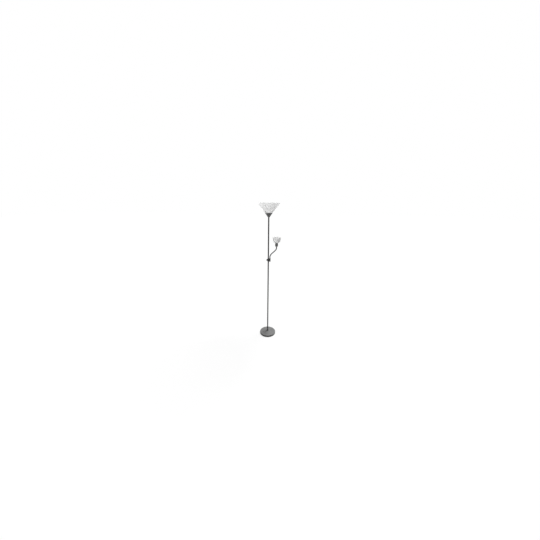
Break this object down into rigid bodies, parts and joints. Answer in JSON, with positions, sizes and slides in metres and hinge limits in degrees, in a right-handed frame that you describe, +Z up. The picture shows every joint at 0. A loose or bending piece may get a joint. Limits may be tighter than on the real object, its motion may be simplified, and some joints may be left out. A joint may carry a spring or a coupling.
{
  "type": "torchiere floor lamp with reading light",
  "caption": "Floor lamp with a round weighted base, a thin pole, an upward cone shade and a bell-shaped reading light on a bending neck, with a rotary switch between them.",
  "frame": {"origin": "on the floor, under the centre of the pole and of the round base", "axes": "+Z up along the pole, +X from the pole towards the reading light, -Y to the front"},
  "size_m": [0.2892, 0.27, 1.8],
  "materials": {
    "foam": "matte closed-cell foam",
    "concrete": "rough cast concrete",
    "grey_paint": "satin metallic grey paint",
    "neck_metal": "satin steel hose",
    "zinc_steel": "zinc-plated steel",
    "black_plastic": "fine matte",
    "white_plastic": "satin",
    "frosted_shade": "frosted translucent white",
    "cable_sheath": "satin cable sheath",
    "bulb_metal": "pressed screw cap",
    "bulb_glass": "frosted glass"
  },
  "bodies": {
    "lamp": {"base_pad": "foam", "base_weight": "concrete", "base_cover": "grey_paint", "base_nipple": "zinc_steel", "base_washer": "zinc_steel", "base_nut": "zinc_steel", "cord_gland": "black_plastic", "pole_lower": "grey_paint", "pole_middle": "grey_paint", "pole_upper": "grey_paint", "pole_foot_insert": "zinc_steel", "pole_middle_insert": "zinc_steel", "pole_upper_insert": "zinc_steel", "pole_top_insert": "zinc_steel", "pole_coupler": "zinc_steel", "foot_collar": "grey_paint", "junction_body": "grey_paint", "junction_plug": "grey_paint", "junction_lower_nipple": "zinc_steel", "junction_lower_nut": "zinc_steel", "junction_upper_nut": "zinc_steel", "junction_upper_nipple": "zinc_steel", "switch_body": "black_plastic", "switch_ring_nut": "zinc_steel", "uplight_nipple": "zinc_steel", "uplight_cup": "grey_paint", "uplight_spacer": "zinc_steel", "uplight_socket_cap": "white_plastic", "uplight_socket_shell": "white_plastic", "uplight_shade": "frosted_shade", "uplight_shade_ring": "white_plastic", "uplight_bulb_cap": "bulb_metal", "uplight_bulb_globe": "bulb_glass", "uplight_lead": "cable_sheath", "neck_lower_ferrule": "grey_paint"},
    "knob": {"switch_knob": "black_plastic", "switch_spindle": "zinc_steel"},
    "neck_link_01": {"neck_link_01": "neck_metal"},
    "neck_link_02": {"neck_link_02": "neck_metal"},
    "neck_link_03": {"neck_link_03": "neck_metal"},
    "neck_link_04": {"neck_link_04": "neck_metal"},
    "neck_link_05": {"neck_link_05": "neck_metal"},
    "neck_link_06": {"neck_link_06": "neck_metal"},
    "neck_link_07": {"neck_link_07": "neck_metal"},
    "neck_link_08": {"neck_link_08": "neck_metal"},
    "neck_link_09": {"neck_link_09": "neck_metal"},
    "neck_link_10": {"neck_link_10": "neck_metal"},
    "neck_link_11": {"neck_link_11": "neck_metal"},
    "neck_link_12": {"neck_link_12": "neck_metal"},
    "neck_link_13": {"neck_link_13": "neck_metal"},
    "reading_head": {"neck_upper_ferrule": "grey_paint", "reading_cup": "grey_paint", "reading_nut": "zinc_steel", "reading_socket_cap": "white_plastic", "reading_socket_shell": "white_plastic", "reading_shade": "frosted_shade", "reading_shade_ring": "white_plastic", "reading_bulb_cap": "bulb_metal", "reading_bulb_globe": "bulb_glass"}
  },
  "joints": [
    {"name": "switch_turn", "type": "hinge", "parent": "lamp", "child": "knob", "pos_m": [-0.0136, 0, 1.1046], "axis": [-1, 0, 0], "continuous": true},
    {"name": "neck_lower_bend", "type": "hinge", "parent": "lamp", "child": "neck_link_01", "pos_m": [0.02, 0, 1.1325], "axis": [0, 1, 0], "range_deg": [-0.5, 18]},
    {"name": "neck_sway", "type": "hinge", "parent": "neck_link_01", "child": "neck_link_02", "pos_m": [0.02, 0, 1.1455], "axis": [0.995, 0, -0.1002], "range_deg": [-10, 10]},
    {"name": "neck_lower_bend_2", "type": "hinge", "parent": "neck_link_02", "child": "neck_link_03", "pos_m": [0.02259, 0, 1.15824], "axis": [0, 1, 0], "range_deg": [-0.5, 18]},
    {"name": "neck_sway_2", "type": "hinge", "parent": "neck_link_03", "child": "neck_link_04", "pos_m": [0.02767, 0, 1.17021], "axis": [0.8767, 0, -0.481], "range_deg": [-10, 10]},
    {"name": "neck_lower_bend_3", "type": "hinge", "parent": "neck_link_04", "child": "neck_link_05", "pos_m": [0.03503, 0, 1.18092], "axis": [0, 1, 0], "range_deg": [-0.5, 18]},
    {"name": "neck_sway_3", "type": "hinge", "parent": "neck_link_05", "child": "neck_link_06", "pos_m": [0.04439, 0, 1.18995], "axis": [0.6947, 0, -0.7193], "range_deg": [-10, 10]},
    {"name": "neck_lower_bend_4", "type": "hinge", "parent": "neck_link_06", "child": "neck_link_07", "pos_m": [0.05374, 0, 1.19898], "axis": [0, 1, 0], "range_deg": [-0.5, 18]},
    {"name": "neck_sway_4", "type": "hinge", "parent": "neck_link_07", "child": "neck_link_08", "pos_m": [0.06309, 0, 1.20801], "axis": [0.6947, 0, -0.7193], "range_deg": [-10, 10]},
    {"name": "neck_upper_bend", "type": "hinge", "parent": "neck_link_08", "child": "neck_link_09", "pos_m": [0.07244, 0, 1.21704], "axis": [0, 1, 0], "range_deg": [-2, 34]},
    {"name": "neck_sway_5", "type": "hinge", "parent": "neck_link_09", "child": "neck_link_10", "pos_m": [0.08179, 0, 1.22607], "axis": [0.6947, 0, -0.7193], "range_deg": [-10, 10]},
    {"name": "neck_upper_bend_2", "type": "hinge", "parent": "neck_link_10", "child": "neck_link_11", "pos_m": [0.09114, 0, 1.2351], "axis": [0, 1, 0], "range_deg": [-2, 34]},
    {"name": "neck_sway_6", "type": "hinge", "parent": "neck_link_11", "child": "neck_link_12", "pos_m": [0.09777, 0, 1.24629], "axis": [0.9205, 0, -0.3907], "range_deg": [-10, 10]},
    {"name": "neck_upper_bend_3", "type": "hinge", "parent": "neck_link_12", "child": "neck_link_13", "pos_m": [0.10121, 0, 1.25882], "axis": [0, 1, 0], "range_deg": [-2, 34]},
    {"name": "neck_sway_7", "type": "hinge", "parent": "neck_link_13", "child": "reading_head", "pos_m": [0.10121, 0, 1.27182], "axis": [1, 0, 0], "range_deg": [-10, 10]}
  ],
  "couplings": [
    {"joint": "neck_lower_bend_2", "follows": "neck_lower_bend", "ratio": 1},
    {"joint": "neck_sway_2", "follows": "neck_sway", "ratio": 1},
    {"joint": "neck_lower_bend_3", "follows": "neck_lower_bend", "ratio": 1},
    {"joint": "neck_sway_3", "follows": "neck_sway", "ratio": 1},
    {"joint": "neck_lower_bend_4", "follows": "neck_lower_bend", "ratio": 1},
    {"joint": "neck_sway_4", "follows": "neck_sway", "ratio": 1},
    {"joint": "neck_sway_5", "follows": "neck_sway", "ratio": 1},
    {"joint": "neck_upper_bend_2", "follows": "neck_upper_bend", "ratio": 1},
    {"joint": "neck_sway_6", "follows": "neck_sway", "ratio": 1},
    {"joint": "neck_upper_bend_3", "follows": "neck_upper_bend", "ratio": 1},
    {"joint": "neck_sway_7", "follows": "neck_sway", "ratio": 1}
  ]
}
